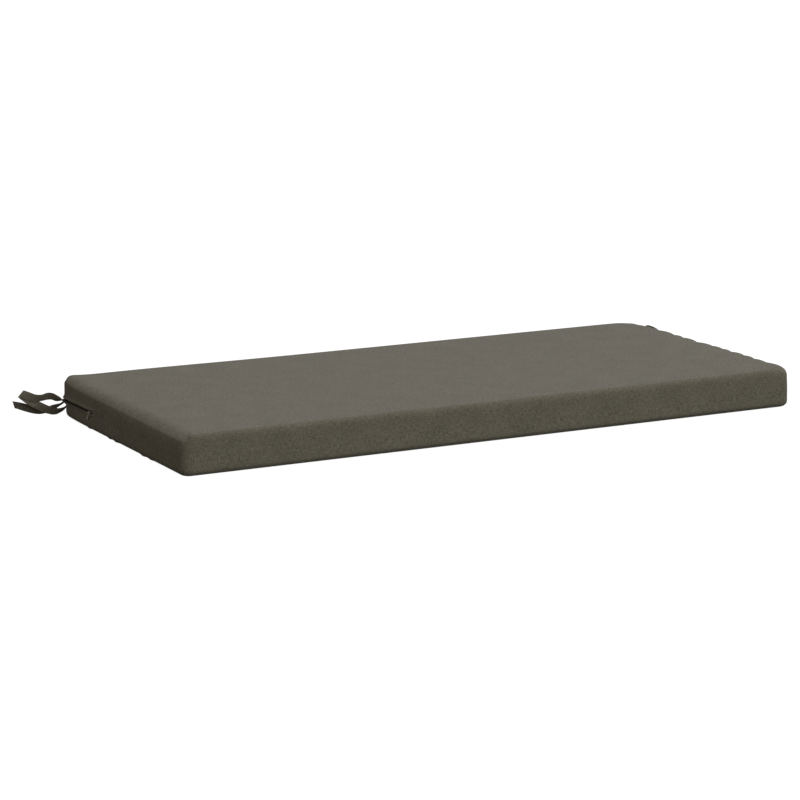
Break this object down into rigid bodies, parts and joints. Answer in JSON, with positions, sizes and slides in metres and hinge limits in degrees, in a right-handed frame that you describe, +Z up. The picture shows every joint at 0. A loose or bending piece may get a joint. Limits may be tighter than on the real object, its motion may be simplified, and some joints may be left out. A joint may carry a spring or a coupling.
{
  "type": "bench cushion",
  "caption": "Long flat rectangular bench cushion in a plain fabric cover, with gathered end seams, a zip round the back and cloth tie tails at its back corners.",
  "frame": {"origin": "middle of the flat underside", "axes": "+X along the bench, to the sitter's left when seated; -Y is the front edge and +Y the back with the zip; +Z up through the thickness"},
  "size_m": [1.3665, 0.5256, 0.0737],
  "materials": {
    "cover_cloth": "matt woven cloth with a fine melange",
    "zip_tape": "matt woven tape with a fine chain",
    "slider_metal": "satin",
    "tie_cloth": "matt woven cloth, folded and stitched"
  },
  "bodies": {
    "root": {"cushion": "cover_cloth", "zip_strip": "zip_tape", "zip_slider": "slider_metal", "zip_pull": "slider_metal", "tie_left_upper": "tie_cloth", "tie_left_lower": "tie_cloth", "tie_left_crossing": "tie_cloth", "tie_right_upper": "tie_cloth", "tie_right_lower": "tie_cloth", "tie_right_crossing": "tie_cloth"}
  },
  "joints": []
}
